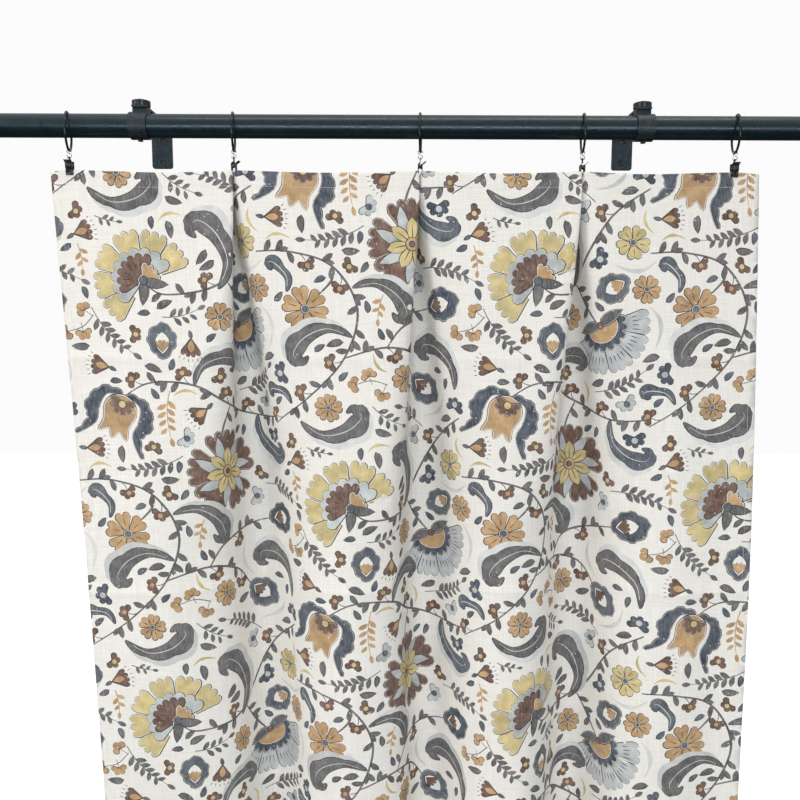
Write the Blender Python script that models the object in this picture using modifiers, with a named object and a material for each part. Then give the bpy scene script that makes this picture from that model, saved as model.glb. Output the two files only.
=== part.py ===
"""Stall shower curtain on ring clips, hung from a wall-mounted rod.

Frame: metres, +Z up, +X along the rod to the right, +Y towards the wall.
The origin is on the wall, midway between the two brackets, level with the rod's axis.
"""

import math

import bmesh
import bpy
from mathutils import Matrix, Vector

# Rod and its distance from the wall
ROD_DIAMETER = 0.032
ROD_WALL = 0.0012
ROD_LENGTH = 1.220
ROD_TO_WALL = 0.100
END_CAP_PLUG = 0.022
END_CAP_HEAD = 0.012
END_CAP_RIM = 0.0025
END_CAP_CROWN = 0.0048

# Wall brackets
BRACKET_SPACING = 0.700
STRIP_THICKNESS = 0.0025
PLATE_WIDTH = 0.031
PLATE_DROP = 0.039
PLATE_CORNER = 0.004
ARM_WIDTH = 0.020
ARM_UNDERSIDE = 0.0250
ARM_OVERHANG = 0.012
ARM_BEND = 0.005
SLOT_WIDTH = 0.0062
SLOT_FORE = 0.006
SLOT_AFT = 0.034
WALL_SCREW_DIAMETER = 0.0044
WALL_SCREW_HEAD = 0.0086
WALL_SCREW_CROWN = 0.0018
WALL_SCREW_EDGE = 0.0006
WALL_SCREW_HEIGHTS = (-0.028, 0.004)

# Cast cup around the rod, with the stud, knob and grub screw that hold it
CUP_WIDTH = 0.025
CUP_WALL = 0.0022
CUP_OPEN_FROM = 20.0
CUP_OPEN_TO = -45.0
BOSS_DEPTH = 0.014
BOSS_WIDTH = 0.021
BOSS_SEAT = 0.0045
STUD_DIAMETER = 0.0050
STUD_BACK = 0.008
STUD_SUNK = 0.0050
KNOB_DIAMETER = 0.025
KNOB_HEIGHT = 0.0075
KNOB_FLUTES = 14
KNOB_FLUTE_DEPTH = 0.0010
KNOB_COLLAR_DIAMETER = 0.0105
KNOB_COLLAR_HEIGHT = 0.0020
GRUB_DIAMETER = 0.0040
GRUB_HEAD = 0.0070
GRUB_HEAD_HEIGHT = 0.0020

# Rings and the wire links under them
RING_BORE = 0.048
RING_WIRE = 0.0032
RING_PLACES = (-0.450, -0.221, 0.039, 0.266, 0.480)
RING_YAWS = (14.0, 7.0, -4.0, -7.0, -12.0)
LINK_WIRE = 0.0012
LINK_EYE = 0.0052

# Spring clips
CLIP_WIDTH = 0.0105
JAW_SHEET = 0.0010
JAW_LENGTH = 0.0135
LEVER_RISE = 0.0065
LEVER_SPREAD = 0.0050
EAR_THICKNESS = 0.0007
EAR_RADIUS = 0.0019
EAR_ROOT = 0.0027
BELLY_HALF = 0.0030
BELLY_LOW = 0.0052
PIN_DIAMETER = 0.0014
PIN_PROUD = 0.0008
HANGER_WIDTH = 0.0018
EYELET_WIDTH = 0.0060
PIN_BELOW_LINK = 0.0098

# Cloth
CLOTH_WIDTH = 1.219
CLOTH_LENGTH = 1.829
CLOTH_THICKNESS = 0.0012
CLOTH_HUNG_WIDTH = 0.992
CLOTH_FLARE = 0.030
CLOTH_TOP = -0.0600
CLOTH_SIDE_MARGIN = 0.027
PLEAT_HALF_GAP = 0.0014
PLEAT_SHUT_HEIGHT = 0.010
PLEAT_OPEN_HEIGHT = 0.55
PLEAT_OPEN_FRONT = 0.075
PLEAT_OPEN_BACK = 0.012
BULGE = 0.016
CLOTH_ROWS = 11

FIT_GAP = 0.0003
ROUND_STEPS = 32

ROD_RADIUS = ROD_DIAMETER / 2
ROD_Y = -ROD_TO_WALL
STUD_Y = ROD_Y + STUD_BACK
RING_RADIUS = (RING_BORE + RING_WIRE) / 2
RING_Z = ROD_RADIUS + FIT_GAP - RING_BORE / 2
LINK_RADIUS = (LINK_EYE + LINK_WIRE) / 2
LINK_TOP_Z = RING_Z - RING_BORE / 2 + FIT_GAP - LINK_EYE / 2
LINK_LOW_Z = LINK_TOP_Z - 2 * LINK_RADIUS
HANG_Z = LINK_LOW_Z - LINK_RADIUS
PIN_Z = HANG_Z - PIN_BELOW_LINK
SINGLE_GRIP = CLOTH_THICKNESS / 2 + FIT_GAP
PLEAT_GRIP = PLEAT_HALF_GAP + SINGLE_GRIP
PLEATS = RING_PLACES[1:-1]
FRONT_Y = -(CLIP_WIDTH / 2 + 2 * FIT_GAP + CLOTH_THICKNESS / 2)
PLEAT_TAKE_UP = (CLOTH_WIDTH - CLOTH_HUNG_WIDTH) / len(PLEATS)
CLOTH_LEFT = RING_PLACES[0] - CLOTH_SIDE_MARGIN
SIDES = (("left", -1), ("right", 1))

for old in list(bpy.data.objects):
    bpy.data.objects.remove(old, do_unlink=True)

assembly = bpy.data.collections.new("shower_curtain")
cutters = bpy.data.collections.new("cutters")
for group in (assembly, cutters):
    bpy.context.scene.collection.children.link(group)


def finish(name, colour, roughness, metallic):
    material = bpy.data.materials.new(name)
    material.use_nodes = True
    shader = material.node_tree.nodes["Principled BSDF"]
    shader.inputs["Base Color"].default_value = (*colour, 1.0)
    shader.inputs["Roughness"].default_value = roughness
    shader.inputs["Metallic"].default_value = metallic
    return material


def place(name, mesh, material):
    """Add a mesh to the assembly as one sub-part."""
    item = bpy.data.objects.new(name, mesh)
    assembly.objects.link(item)
    item.data.materials.clear()
    item.data.materials.append(material)
    return item


def mesh_from(build):
    """Run one bmesh builder and keep its result as a mesh."""
    mesh = bpy.data.meshes.new("shape")
    shape = bmesh.new()
    build(shape)
    bmesh.ops.recalc_face_normals(shape, faces=shape.faces)
    shape.to_mesh(mesh)
    shape.free()
    return mesh


def cylinder(radius, length, steps=ROUND_STEPS):
    """A closed cylinder along Z, centred on the origin."""
    def build(shape):
        bmesh.ops.create_cone(shape, cap_ends=True, segments=steps,
                              radius1=radius, radius2=radius, depth=length)
    return mesh_from(build)


def block(size):
    def build(shape):
        bmesh.ops.create_cube(shape, size=1.0)
        bmesh.ops.scale(shape, vec=Vector(size), verts=shape.verts)
    return mesh_from(build)


def turned(profile, steps=ROUND_STEPS):
    """A closed profile of (radius, height) points, outer side first from top to bottom, turned about Z."""
    outline = bpy.data.meshes.new("profile")
    points = [(radius, 0.0, height) for radius, height in profile]
    edges = [(i, (i + 1) % len(points)) for i in range(len(points))]
    if profile[0][0] == 0.0:
        edges.pop()
    outline.from_pydata(points, edges, [])
    guide = bpy.data.objects.new("profile", outline)
    cutters.objects.link(guide)
    screw = guide.modifiers.new("turn", "SCREW")
    screw.steps = screw.render_steps = steps
    screw.use_merge_vertices = True
    screw.merge_threshold = 0.00001
    screw.use_smooth_shade = False
    return evaluated_mesh(guide)


def evaluated_mesh(guide):
    """The mesh of an object with its modifiers, with the seams welded; the object goes."""
    graph = bpy.context.evaluated_depsgraph_get()
    mesh = bpy.data.meshes.new_from_object(guide.evaluated_get(graph))
    mesh.transform(guide.matrix_world)
    shape = bmesh.new()
    shape.from_mesh(mesh)
    bmesh.ops.remove_doubles(shape, verts=shape.verts, dist=0.000005)
    bmesh.ops.recalc_face_normals(shape, faces=shape.faces)
    shape.to_mesh(mesh)
    shape.free()
    bpy.data.objects.remove(guide, do_unlink=True)
    return mesh


def flat_outline(loops, thickness):
    """Closed loops of (x, y) points, the outer one first, filled and extruded along Z about its middle."""
    curve = bpy.data.curves.new("outline", "CURVE")
    curve.dimensions = "2D"
    curve.fill_mode = "BOTH"
    curve.extrude = thickness / 2
    for loop in loops:
        spline = curve.splines.new("POLY")
        spline.points.add(len(loop) - 1)
        spline.use_cyclic_u = True
        for point, (x, y) in zip(spline.points, loop):
            point.co = (x, y, 0.0, 1.0)
    guide = bpy.data.objects.new("outline", curve)
    cutters.objects.link(guide)
    return evaluated_mesh(guide)


def wire(points, diameter):
    """A round wire with filled ends along a list of points."""
    curve = bpy.data.curves.new("wire", "CURVE")
    curve.dimensions = "3D"
    curve.bevel_depth = diameter / 2
    curve.bevel_resolution = 1
    curve.use_fill_caps = True
    spline = curve.splines.new("POLY")
    spline.points.add(len(points) - 1)
    for point, position in zip(spline.points, points):
        point.co = (*position, 1.0)
    guide = bpy.data.objects.new("wire", curve)
    cutters.objects.link(guide)
    return evaluated_mesh(guide)


def arc(centre, radius, start, end, steps):
    """Points on an arc, angles in degrees."""
    turns = [math.radians(start + (end - start) * i / steps) for i in range(steps + 1)]
    return [(centre[0] + radius * math.cos(t), centre[1] + radius * math.sin(t)) for t in turns]


def rounded_rectangle(width, low, high, corner, steps=4):
    """A rectangle centred on x = 0 from low to high, counter-clockwise with round corners."""
    side = width / 2 - corner
    return (arc((side, low + corner), corner, -90, 0, steps)
            + arc((side, high - corner), corner, 0, 90, steps)
            + arc((-side, high - corner), corner, 90, 180, steps)
            + arc((-side, low + corner), corner, 180, 270, steps))


def combine(item, mesh, operation="UNION"):
    """Join a mesh to a sub-part, or cut it away, with an exact Boolean."""
    tool = bpy.data.objects.new(item.name + "_tool", mesh)
    cutters.objects.link(tool)
    tool.hide_render = True
    tool.display_type = "WIRE"
    step = item.modifiers.new(operation.lower(), "BOOLEAN")
    step.operation = operation
    step.object = tool
    return item


def moved(mesh, position=(0, 0, 0), turn=None):
    """Turn a mesh about the origin, then move it."""
    mesh.transform(Matrix.Translation(position) @ (turn or Matrix.Identity(4)))
    return mesh


def smooth_round(item, angle=35.0):
    item.data.shade_smooth()
    item.data.set_sharp_from_angle(angle=math.radians(angle))


ALONG_X = Matrix.Rotation(math.radians(90), 4, "Y")
ALONG_Y = Matrix.Rotation(math.radians(90), 4, "X")
# Carries a flat outline drawn as (y, z) into the YZ plane, its thickness along X
SIDE_ON = Matrix(((0, 0, 1, 0), (1, 0, 0, 0), (0, 1, 0, 0), (0, 0, 0, 1)))
# Carries a flat outline drawn as (x, z) into the XZ plane, its thickness along Y
FACE_ON = Matrix(((1, 0, 0, 0), (0, 0, -1, 0), (0, 1, 0, 0), (0, 0, 0, 1)))

satin_black = finish("satin_black_steel", (0.012, 0.016, 0.022), 0.38, 0.6)
cast_black = finish("cast_black_zinc", (0.008, 0.010, 0.014), 0.55, 0.4)
wire_black = finish("black_wire", (0.010, 0.011, 0.013), 0.32, 0.7)
clip_steel = finish("clip_steel", (0.10, 0.10, 0.10), 0.30, 0.9)
link_steel = finish("link_steel", (0.42, 0.40, 0.37), 0.25, 1.0)
linen_print = finish("printed_linen", (0.86, 0.85, 0.81), 0.9, 0.0)


def make_rod():
    bore = ROD_RADIUS - ROD_WALL
    half = ROD_LENGTH / 2
    tube = turned([(ROD_RADIUS, half), (ROD_RADIUS, -half), (bore, -half), (bore, half)], 40)
    smooth_round(place("rod", moved(tube, (0, ROD_Y, 0), ALONG_X), satin_black))

    plug = bore - FIT_GAP
    head = ROD_RADIUS + END_CAP_RIM
    dome = [(head * math.cos(t), END_CAP_HEAD - END_CAP_CROWN * (1.0 - math.sin(t)))
            for t in (math.radians(a) for a in (90, 65, 45, 25, 0))]
    profile = ([(0.0, dome[0][1])] + dome[1:]
               + [(head, FIT_GAP), (plug, FIT_GAP), (plug, -END_CAP_PLUG), (0.0, -END_CAP_PLUG)])
    for side, sign in SIDES:
        turn = Matrix.Rotation(math.radians(90 * sign), 4, "Y")
        cap = moved(turned(profile, 28), (sign * half, ROD_Y, 0), turn)
        smooth_round(place("end_cap_" + side, cap, cast_black))


def make_bracket(side, sign):
    middle = sign * BRACKET_SPACING / 2

    # One bent steel strip: the wall plate, and the slotted arm folded out of its top edge
    top = ARM_UNDERSIDE + STRIP_THICKNESS
    arm_end = STUD_Y - ARM_OVERHANG
    inner_bend = ARM_BEND - STRIP_THICKNESS
    corner = (-ARM_BEND, top - ARM_BEND)
    strip = ([(0.0, -PLATE_DROP / 2)] + arc(corner, ARM_BEND, 0, 90, 5)
             + [(arm_end, top), (arm_end, ARM_UNDERSIDE)]
             + arc(corner, inner_bend, 90, 0, 5) + [(-STRIP_THICKNESS, -PLATE_DROP / 2)])
    strip_mesh = moved(flat_outline([strip], ARM_WIDTH), (middle, 0, 0), SIDE_ON)
    bracket = place("bracket_" + side, strip_mesh, satin_black)
    plate_top = top - ARM_BEND - FIT_GAP
    outline = rounded_rectangle(PLATE_WIDTH, -PLATE_DROP, plate_top, PLATE_CORNER)
    plate = flat_outline([outline], STRIP_THICKNESS)
    combine(bracket, moved(plate, (middle, -STRIP_THICKNESS / 2, 0), FACE_ON))
    slot_half = SLOT_WIDTH / 2
    fore, aft = STUD_Y - SLOT_FORE + slot_half, STUD_Y + SLOT_AFT - slot_half
    slot = arc((0, aft), slot_half, 0, 180, 8) + arc((0, fore), slot_half, 180, 360, 8)
    slot_cut = moved(flat_outline([slot], 4 * STRIP_THICKNESS), (middle, 0, ARM_UNDERSIDE))
    combine(bracket, slot_cut, "DIFFERENCE")
    for height in WALL_SCREW_HEIGHTS:
        hole = cylinder(WALL_SCREW_DIAMETER / 2 + FIT_GAP, 4 * STRIP_THICKNESS, 16)
        combine(bracket, moved(hole, (middle, 0, height), ALONG_Y), "DIFFERENCE")

    for place_word, height in zip(("lower", "upper"), WALL_SCREW_HEIGHTS):
        shank, head = WALL_SCREW_DIAMETER / 2, WALL_SCREW_HEAD / 2
        face = STRIP_THICKNESS + FIT_GAP
        crown, edge = face + WALL_SCREW_CROWN, face + WALL_SCREW_EDGE
        profile = [(0.0, crown), (head * 0.6, (3 * crown + edge) / 4), (head, edge), (head, face),
                   (shank, face), (shank, FIT_GAP), (0.0, FIT_GAP)]
        screw = moved(turned(profile, 16), (middle, 0, height), ALONG_Y)
        smooth_round(place("wall_screw_%s_%s" % (place_word, side), screw, satin_black))

    # Cast cup: an open ring under the rod with a boss that the stud screws into
    inner, outer = ROD_RADIUS + FIT_GAP, ROD_RADIUS + FIT_GAP + CUP_WALL
    start, end = CUP_OPEN_FROM, 360.0 + CUP_OPEN_TO
    ring = arc((ROD_Y, 0), outer, start, end, 30) + arc((ROD_Y, 0), inner, end, start, 30)
    cup = place("cup_" + side, moved(flat_outline([ring], CUP_WIDTH), (middle, 0, 0), SIDE_ON), cast_black)
    boss_top = ARM_UNDERSIDE - FIT_GAP
    boss_low = ROD_RADIUS - BOSS_SEAT
    boss = moved(block((BOSS_WIDTH, BOSS_DEPTH, boss_top - boss_low)),
                 (middle, STUD_Y, (boss_top + boss_low) / 2))
    combine(cup, boss)
    combine(cup, moved(cylinder(inner, BOSS_WIDTH * 3, 48), (middle, ROD_Y, 0), ALONG_X), "DIFFERENCE")
    stud_hole = cylinder(STUD_DIAMETER / 2 + FIT_GAP, 2 * STUD_SUNK + 2 * FIT_GAP, 16)
    combine(cup, moved(stud_hole, (middle, STUD_Y, boss_top)), "DIFFERENCE")
    grub_hole = cylinder(GRUB_DIAMETER / 2 + FIT_GAP, 4 * CUP_WALL, 16)
    combine(cup, moved(grub_hole, (middle, ROD_Y, -outer)), "DIFFERENCE")

    # Stud, fluted knob on the arm, and the grub screw that stops the rod turning
    knob_low = ARM_UNDERSIDE + STRIP_THICKNESS + FIT_GAP
    knob_top = knob_low + KNOB_HEIGHT + KNOB_COLLAR_HEIGHT
    stud_low = boss_top - STUD_SUNK
    stud = cylinder(STUD_DIAMETER / 2, knob_top - stud_low, 16)
    moved(stud, (middle, STUD_Y, (knob_top + stud_low) / 2))
    smooth_round(place("clamp_stud_" + side, stud, satin_black))
    bore = arc((0, 0), STUD_DIAMETER / 2 + FIT_GAP, 0, 360 - 360 / 16, 15)
    rim = []
    for i in range(4 * KNOB_FLUTES):
        radius = KNOB_DIAMETER / 2 - (KNOB_FLUTE_DEPTH if i % 4 < 2 else 0.0)
        angle = 2 * math.pi * i / (4 * KNOB_FLUTES)
        rim.append((radius * math.cos(angle), radius * math.sin(angle)))
    knob_mesh = moved(flat_outline([rim, bore], KNOB_HEIGHT), (middle, STUD_Y, knob_low + KNOB_HEIGHT / 2))
    knob = place("knob_" + side, knob_mesh, cast_black)
    collar_rim = arc((0, 0), KNOB_COLLAR_DIAMETER / 2, 0, 345, 23)
    collar_bore = arc((0, 0), STUD_DIAMETER / 2 + 2 * FIT_GAP, 0, 345, 23)
    collar = flat_outline([collar_rim, collar_bore], 2 * KNOB_COLLAR_HEIGHT)
    combine(knob, moved(collar, (middle, STUD_Y, knob_top - KNOB_COLLAR_HEIGHT)))

    head, shank = GRUB_HEAD / 2, GRUB_DIAMETER / 2
    seat = -outer - FIT_GAP
    tip = -ROD_RADIUS - FIT_GAP
    profile = [(0.0, tip), (shank, tip), (shank, seat), (head, seat),
               (head, seat - GRUB_HEAD_HEIGHT), (0.0, seat - GRUB_HEAD_HEIGHT)]
    grub = moved(turned(profile, 16), (middle, ROD_Y, 0))
    smooth_round(place("grub_screw_" + side, grub, satin_black))


def make_ring(number, x, yaw):
    def build(shape):
        major, minor = 30, 8
        rows = []
        for i in range(major):
            a = 2 * math.pi * i / major
            row = []
            for j in range(minor):
                b = 2 * math.pi * j / minor
                radius = RING_RADIUS + RING_WIRE / 2 * math.cos(b)
                across = RING_WIRE / 2 * math.sin(b)
                row.append(shape.verts.new((across, radius * math.cos(a), radius * math.sin(a))))
            rows.append(row)
        for i in range(major):
            for j in range(minor):
                here, ahead = rows[i], rows[(i + 1) % major]
                shape.faces.new((here[j], ahead[j], ahead[(j + 1) % minor], here[(j + 1) % minor]))
    turn = Matrix.Rotation(math.radians(yaw), 4, "Z")
    hoop = moved(mesh_from(build), (x, ROD_Y, RING_Z), turn)
    smooth_round(place("ring_%d" % number, hoop, wire_black), 60)


def make_link(number, x):
    """An S of wire: the upper eye hangs on the ring, the lower one carries the clip."""
    upper = arc((0, LINK_TOP_Z), LINK_RADIUS, -30, 270, 15)
    lower = arc((0, LINK_LOW_Z), LINK_RADIUS, 90, -210, 15)[1:]
    points = [(px, 0, pz) for px, pz in upper + lower]
    hook = moved(wire(points, LINK_WIRE), (x, ROD_Y, 0))
    smooth_round(place("link_%d" % number, hook, link_steel), 60)


def jaw_outline(grip, upper, top):
    """Side outline (y, z) of a pressed sheet: flat jaw, a belly around the pin, and the part above it."""
    belly = max(EAR_RADIUS + FIT_GAP, grip)
    inner = [(grip, -JAW_LENGTH), (grip, -BELLY_LOW), (belly, -BELLY_HALF), (belly, BELLY_HALF),
             (upper, top)]
    return inner + [(y + JAW_SHEET, z) for y, z in reversed(inner)]


def jaw_with_ears(name, outline, ear_place, grip):
    """A pressed jaw: its sheet, and two ears bored for the pin. Drawn on the +Y side of the pin."""
    jaw = place(name, moved(flat_outline([outline], CLIP_WIDTH), (0, 0, 0), SIDE_ON), clip_steel)
    root = max(EAR_RADIUS + FIT_GAP, grip) + JAW_SHEET / 2
    web = [(root, EAR_ROOT), *arc((0, 0), EAR_RADIUS, 110, 250, 8), (root, -EAR_ROOT)]
    bore = arc((0, 0), PIN_DIAMETER / 2 + FIT_GAP, 0, 330, 11)
    for sign in (-1, 1):
        combine(jaw, moved(flat_outline([web, bore], EAR_THICKNESS), (sign * ear_place, 0, 0), SIDE_ON))
    return jaw


def make_clip(number, x, grip, turn_angle):
    """Two sprung jaws on one pin. Drawn facing -Y about the pin, turned about Z, then hung at x."""
    hang = HANG_Z - PIN_Z
    eye = LINK_WIRE / 2 + 2 * FIT_GAP
    inset = JAW_SHEET / 20
    outer_ear = CLIP_WIDTH / 2 - EAR_THICKNESS / 2
    inner_ear = outer_ear - EAR_THICKNESS - FIT_GAP

    # Fixed jaw behind the cloth, with the hanger that holds the link
    neck = BELLY_LOW
    edge_on = turn_angle != 0
    upper = -JAW_SHEET / 2 if edge_on else eye
    fixed = jaw_with_ears("jaw_back_%d" % number, jaw_outline(grip, upper, neck), inner_ear, grip)
    low, high = upper + inset, upper + JAW_SHEET - inset
    if edge_on:
        top = hang + LINK_RADIUS - FIT_GAP
        tongue = [(low, neck - FIT_GAP), (high, neck - FIT_GAP), (high, top), (low, top)]
        combine(fixed, moved(flat_outline([tongue], EYELET_WIDTH), (0, 0, 0), SIDE_ON))
        link_hole = cylinder(eye + FIT_GAP, 6 * JAW_SHEET, 16)
        combine(fixed, moved(link_hole, (0, 0, hang), ALONG_Y), "DIFFERENCE")
    else:
        tongue = ([(high, neck - FIT_GAP), (high, hang)]
                  + arc((0, hang), eye + JAW_SHEET - inset, 10, 215, 12)
                  + arc((0, hang), eye + inset, 215, 0, 12) + [(low, neck - FIT_GAP)])
        combine(fixed, moved(flat_outline([tongue], HANGER_WIDTH), (0, 0, 0), SIDE_ON))

    # Moving jaw in front: the same pressing turned about Z, with its top spread into a thumb lever
    spread = max(EAR_RADIUS + FIT_GAP, grip) + LEVER_SPREAD
    moving = jaw_with_ears("jaw_front_%d" % number, jaw_outline(grip, spread, LEVER_RISE), outer_ear, grip)
    half_turn = Matrix.Rotation(math.pi, 4, "Z")
    for mesh in (moving.data, *(step.object.data for step in moving.modifiers)):
        mesh.transform(half_turn)

    # Pin, and the coil spring as one sleeve around it
    rivet = moved(cylinder(PIN_DIAMETER / 2, CLIP_WIDTH + PIN_PROUD, 12), turn=ALONG_X)
    pin = place("pin_%d" % number, rivet, link_steel)
    reach = inner_ear - EAR_THICKNESS / 2 - FIT_GAP
    bore, coil = PIN_DIAMETER / 2 + FIT_GAP, EAR_RADIUS - FIT_GAP
    sleeve = turned([(coil, reach), (coil, -reach), (bore, -reach), (bore, reach)], 16)
    spring = place("spring_%d" % number, moved(sleeve, turn=ALONG_X), link_steel)
    for item in (pin, spring):
        smooth_round(item)
    hung = Matrix.Translation((x, ROD_Y, PIN_Z)) @ Matrix.Rotation(math.radians(turn_angle), 4, "Z")
    for item in (fixed, moving, pin, spring):
        for mesh in (item.data, *(step.object.data for step in item.modifiers)):
            mesh.transform(hung)


def lean(x):
    """0 where an end clip holds the cloth under the rod's axis, rising to 1 at the nearest pleat."""
    right_margin = CLOTH_LEFT + CLOTH_HUNG_WIDTH - RING_PLACES[-1]
    left_flat = RING_PLACES[0] + CLOTH_SIDE_MARGIN
    right_flat = RING_PLACES[-1] - right_margin
    rise = min((x - left_flat) / (PLEATS[0] - left_flat), (right_flat - x) / (right_flat - PLEATS[-1]))
    return min(1.0, max(0.0, rise))


def cloth_section(drop):
    """The cloth in plan at a depth below its top edge, as (x, y) points, pleated at each middle ring."""
    opened = min(1.0, max(0.0, drop - PLEAT_SHUT_HEIGHT) / PLEAT_OPEN_HEIGHT)
    eased = opened * (2.0 - opened)
    stretch = 1.0 + CLOTH_FLARE * drop / CLOTH_LENGTH
    middle = CLOTH_LEFT + CLOTH_HUNG_WIDTH / 2
    front = PLEAT_HALF_GAP + (PLEAT_OPEN_FRONT / 2 - PLEAT_HALF_GAP) * eased
    back = PLEAT_HALF_GAP + (PLEAT_OPEN_BACK / 2 - PLEAT_HALF_GAP) * eased
    wall = (PLEAT_TAKE_UP + 2 * (front - back)) / 2
    depth = FRONT_Y + math.sqrt(wall ** 2 - (front - back) ** 2)
    swell = BULGE * eased
    starts = [CLOTH_LEFT] + [pleat + front for pleat in PLEATS]
    stops = [pleat - front for pleat in PLEATS] + [CLOTH_LEFT + CLOTH_HUNG_WIDTH]
    section = []
    for span, (start, stop) in enumerate(zip(starts, stops)):
        for share in (0.0, 0.2, 0.5, 0.75, 1.0):
            x = start + (stop - start) * share
            section.append((x, FRONT_Y * lean(x) - swell * math.sin(math.pi * share)))
        if span < len(PLEATS):
            section += [(PLEATS[span] - back, depth), (PLEATS[span] + back, depth)]
    return [(middle + (x - middle) * stretch, y) for x, y in section]


def make_cloth():
    def build(shape):
        free = CLOTH_LENGTH - PLEAT_SHUT_HEIGHT
        drops = [0.0] + [PLEAT_SHUT_HEIGHT + free * (i / CLOTH_ROWS) ** 1.8 for i in range(CLOTH_ROWS + 1)]
        rows = []
        for drop in drops:
            rows.append([shape.verts.new((x, ROD_Y + y, CLOTH_TOP - drop)) for x, y in cloth_section(drop)])
        for upper, lower in zip(rows, rows[1:]):
            for j in range(len(upper) - 1):
                shape.faces.new((upper[j], lower[j], lower[j + 1], upper[j + 1]))
    panel = place("curtain_panel", mesh_from(build), linen_print)
    shell = panel.modifiers.new("cloth", "SOLIDIFY")
    shell.thickness = CLOTH_THICKNESS
    shell.offset = 0.0
    shell.use_even_offset = True


make_rod()
for bracket_side, bracket_sign in SIDES:
    make_bracket(bracket_side, bracket_sign)
for index, (ring_x, ring_yaw) in enumerate(zip(RING_PLACES, RING_YAWS)):
    make_ring(index + 1, ring_x, ring_yaw)
    make_link(index + 1, ring_x)
    in_pleat = ring_x in PLEATS
    make_clip(index + 1, ring_x, PLEAT_GRIP if in_pleat else SINGLE_GRIP, 90.0 if in_pleat else 0.0)
make_cloth()
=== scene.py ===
import math
import random

import bmesh
import bpy
import numpy as np
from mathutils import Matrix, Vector
from mathutils.geometry import delaunay_2d_cdt


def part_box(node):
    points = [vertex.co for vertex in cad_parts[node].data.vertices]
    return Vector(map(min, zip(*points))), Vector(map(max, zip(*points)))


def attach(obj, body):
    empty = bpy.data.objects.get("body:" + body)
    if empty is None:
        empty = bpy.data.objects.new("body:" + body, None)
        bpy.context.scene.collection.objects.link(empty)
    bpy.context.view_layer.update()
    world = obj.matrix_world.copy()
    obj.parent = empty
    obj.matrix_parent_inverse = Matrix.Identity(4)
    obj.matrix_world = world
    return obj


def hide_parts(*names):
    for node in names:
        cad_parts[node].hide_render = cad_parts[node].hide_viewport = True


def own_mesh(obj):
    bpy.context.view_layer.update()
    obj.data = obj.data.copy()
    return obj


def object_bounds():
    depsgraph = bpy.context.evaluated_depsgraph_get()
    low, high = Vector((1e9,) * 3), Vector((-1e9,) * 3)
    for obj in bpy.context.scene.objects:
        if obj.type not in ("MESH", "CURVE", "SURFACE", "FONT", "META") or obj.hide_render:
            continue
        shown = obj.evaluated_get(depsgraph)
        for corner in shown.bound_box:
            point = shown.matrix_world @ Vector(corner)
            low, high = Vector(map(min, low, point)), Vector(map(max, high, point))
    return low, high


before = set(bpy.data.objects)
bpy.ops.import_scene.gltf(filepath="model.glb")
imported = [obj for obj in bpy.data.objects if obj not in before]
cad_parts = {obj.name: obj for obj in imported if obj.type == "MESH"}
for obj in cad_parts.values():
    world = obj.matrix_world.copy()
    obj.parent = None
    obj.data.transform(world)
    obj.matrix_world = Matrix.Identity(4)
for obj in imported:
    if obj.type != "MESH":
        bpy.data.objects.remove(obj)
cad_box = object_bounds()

# The view: a camera a metre in front of the rod and a little below it, looking slightly down.
rod_low, rod_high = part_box("rod")
rod_radius = (rod_high.z - rod_low.z) / 2
rod_y = (rod_high.y + rod_low.y) / 2
lens_data = bpy.data.cameras.new("camera")
lens_data.lens, lens_data.sensor_width = 33.6, 36.0
camera = bpy.data.objects.new("camera", lens_data)
bpy.context.scene.collection.objects.link(camera)
camera.location = (0.0043, rod_y - 1.074, -0.263)
camera.rotation_euler = (math.radians(90 - 6.32), math.radians(-0.13), math.radians(-0.37))
bpy.context.scene.camera = camera

# The surroundings: a plain pale floor under a white sky, and soft studio light from the front.
floor_z = cad_box[0].z - 0.25


def studio_floor(brightness, glow):
    """A plain pale floor that isn't part of the object, and isn't mirrored in it."""
    mesh = bpy.data.meshes.new("studio_floor")
    corners = [(x, y, floor_z) for x, y in ((-9, -9), (9, -9), (9, 9), (-9, 9))]
    mesh.from_pydata(corners, [], [(0, 1, 2, 3)])
    plane = bpy.data.objects.new("studio_floor", mesh)
    bpy.context.scene.collection.objects.link(plane)
    paint = bpy.data.materials.new("studio_floor")
    paint.use_nodes = True
    shader = paint.node_tree.nodes["Principled BSDF"]
    shader.inputs["Base Color"].default_value = (brightness, brightness, brightness, 1)
    shader.inputs["Roughness"].default_value = 0.95
    shader.inputs["Specular IOR Level"].default_value = 0.1
    shader.inputs["Emission Color"].default_value = (1, 1, 1, 1)
    shader.inputs["Emission Strength"].default_value = glow
    mesh.materials.append(paint)
    plane.visible_glossy = plane.visible_diffuse = False


def soft_light(name, place, aim, size, power, tint=(1, 1, 1)):
    data = bpy.data.lights.new(name, "AREA")
    data.shape, data.size, data.size_y = "RECTANGLE", size[0], size[1]
    data.energy, data.color = power, tint
    lamp = bpy.data.objects.new(name, data)
    bpy.context.scene.collection.objects.link(lamp)
    lamp.location = place
    lamp.rotation_euler = (Vector(aim) - Vector(place)).to_track_quat("-Z", "Y").to_euler()


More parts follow.
